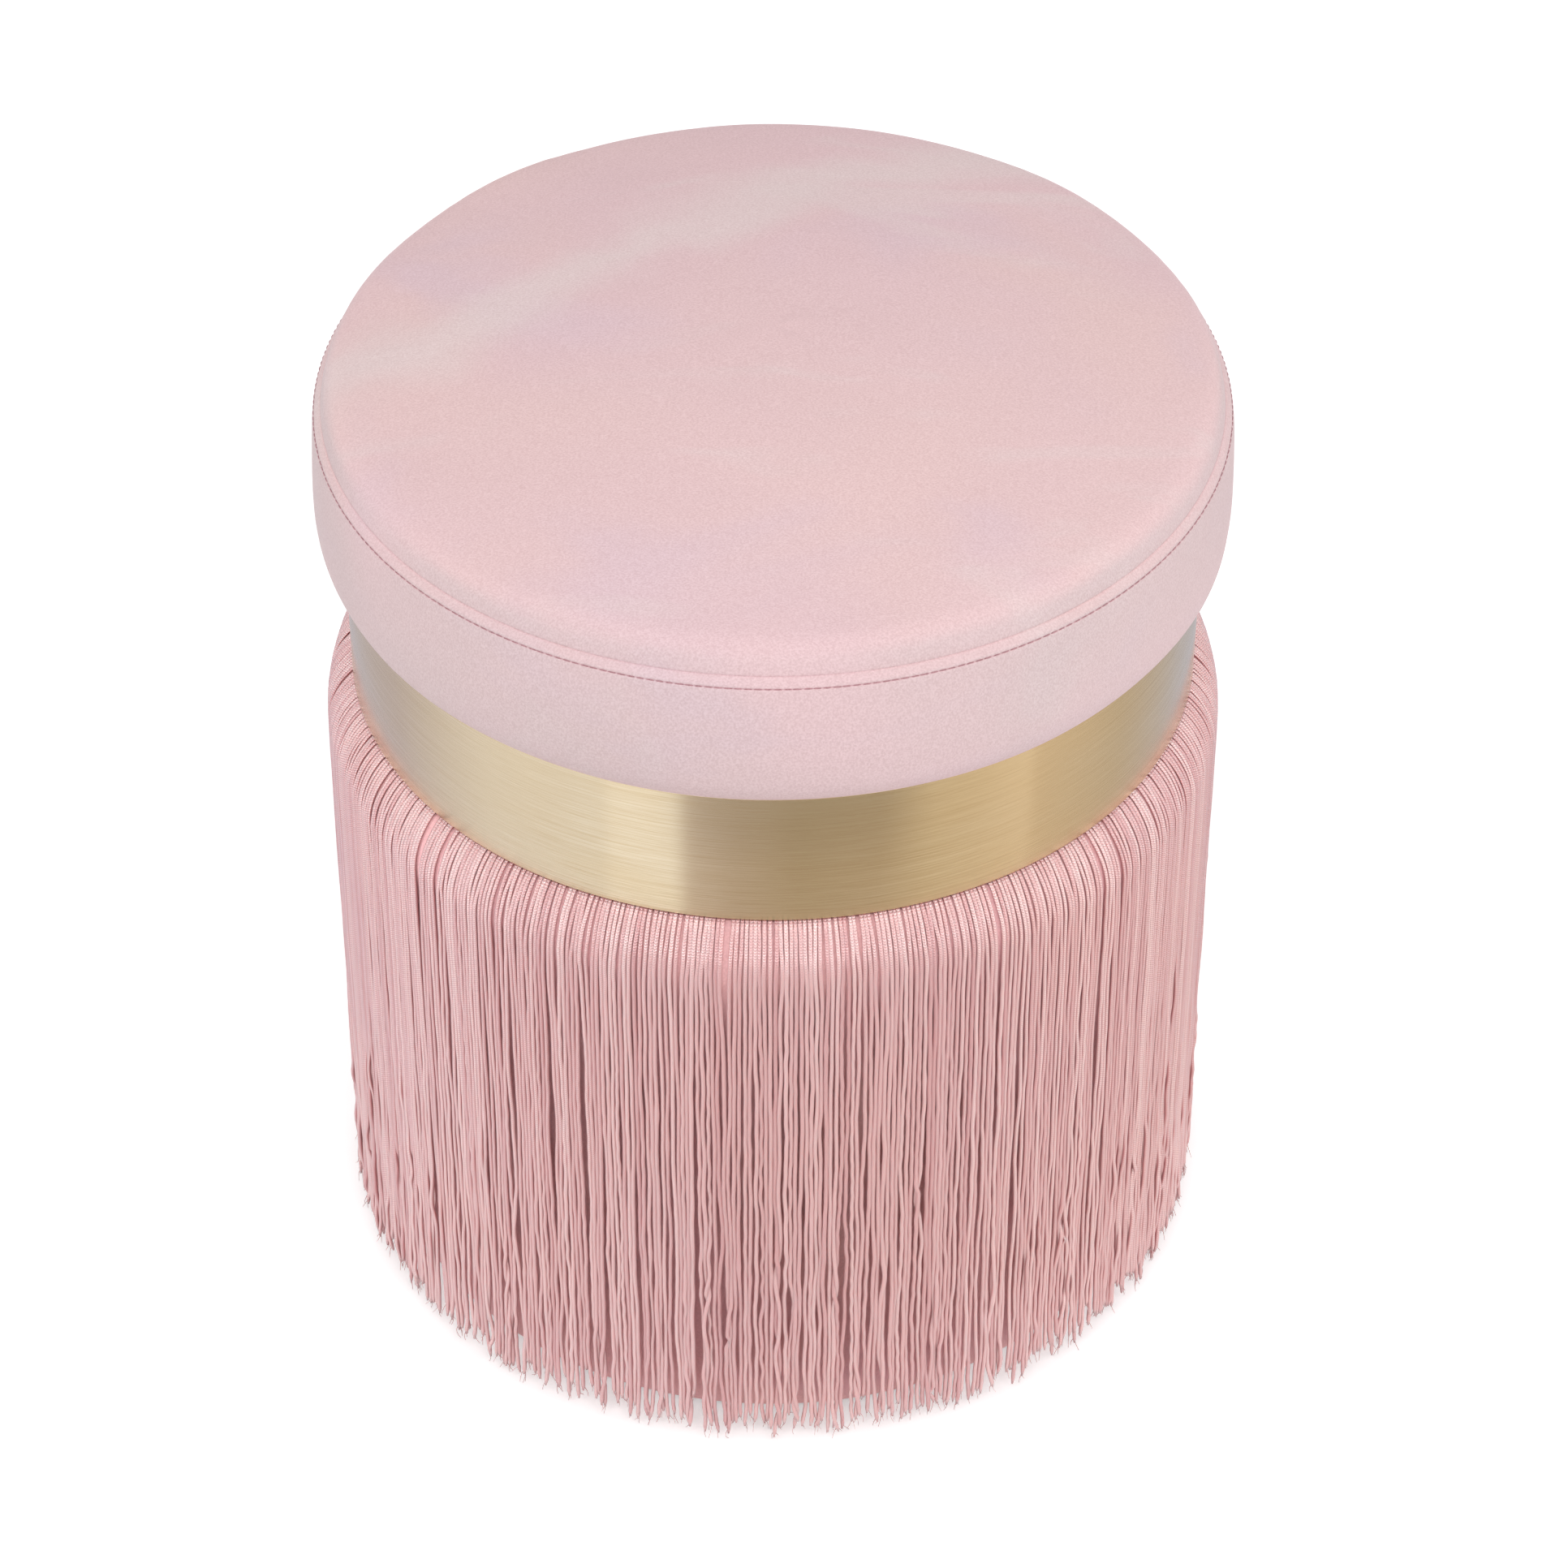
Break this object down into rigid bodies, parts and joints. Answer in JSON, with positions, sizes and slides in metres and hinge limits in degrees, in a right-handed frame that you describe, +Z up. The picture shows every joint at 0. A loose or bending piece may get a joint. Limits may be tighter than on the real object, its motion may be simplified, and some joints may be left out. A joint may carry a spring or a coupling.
{
  "type": "fringed tuffet",
  "caption": "Round upholstered tuffet with a domed seat cushion, a metal band and a drum base hung with long cord fringe.",
  "frame": {"origin": "centre of the round footprint, on the floor under the glides", "axes": "+Z up along the axis of the drum; the butt joints of the band and the shell face +Y, the back"},
  "size_m": [0.3602, 0.3602, 0.4356],
  "materials": {
    "velvet": "short pile velvet, pale blush pink",
    "thread": "polyester sewing thread",
    "fringe_yarn": "twisted rayon cord, satin sheen",
    "heading_tape": "woven tape",
    "batting": "polyester wadding",
    "foam": "polyurethane foam",
    "dust_cloth": "non-woven black cloth",
    "brass": "brushed round the band, lacquered",
    "plywood": "birch plywood, raw",
    "hardboard": "hardboard, raw",
    "softwood": "pine, planed",
    "glide_plastic": "moulded, fine matt",
    "zinc_steel": "zinc plated"
  },
  "bodies": {
    "root": {"base_bottom_board": "plywood", "base_cover": "velvet", "base_cover_lower_staples": "zinc_steel", "base_cover_upper_staples": "zinc_steel", "base_padding": "foam", "base_post_1": "softwood", "base_post_2": "softwood", "base_post_3": "softwood", "base_post_4": "softwood", "base_screws": "zinc_steel", "base_shell": "hardboard", "base_shell_staples": "zinc_steel", "base_top_board": "plywood", "brass_band": "brass", "brass_band_pins": "brass", "collar_block_1": "softwood", "collar_block_2": "softwood", "collar_block_3": "softwood", "collar_block_4": "softwood", "collar_lower_ring": "plywood", "collar_screws": "zinc_steel", "collar_upper_ring": "plywood", "dust_cover": "dust_cloth", "dust_cover_staples": "zinc_steel", "fringe_cords": "fringe_yarn", "fringe_heading": "heading_tape", "fringe_staples": "zinc_steel", "glide_1": "glide_plastic", "glide_2": "glide_plastic", "glide_3": "glide_plastic", "glide_4": "glide_plastic", "glide_nails": "zinc_steel", "seat_batting": "batting", "seat_board": "plywood", "seat_bolts": "zinc_steel", "seat_cover_band": "velvet", "seat_cover_staples": "zinc_steel", "seat_cover_top": "velvet", "seat_foam": "foam", "seat_tee_nuts": "zinc_steel", "seat_topstitch": "thread"}
  },
  "joints": []
}
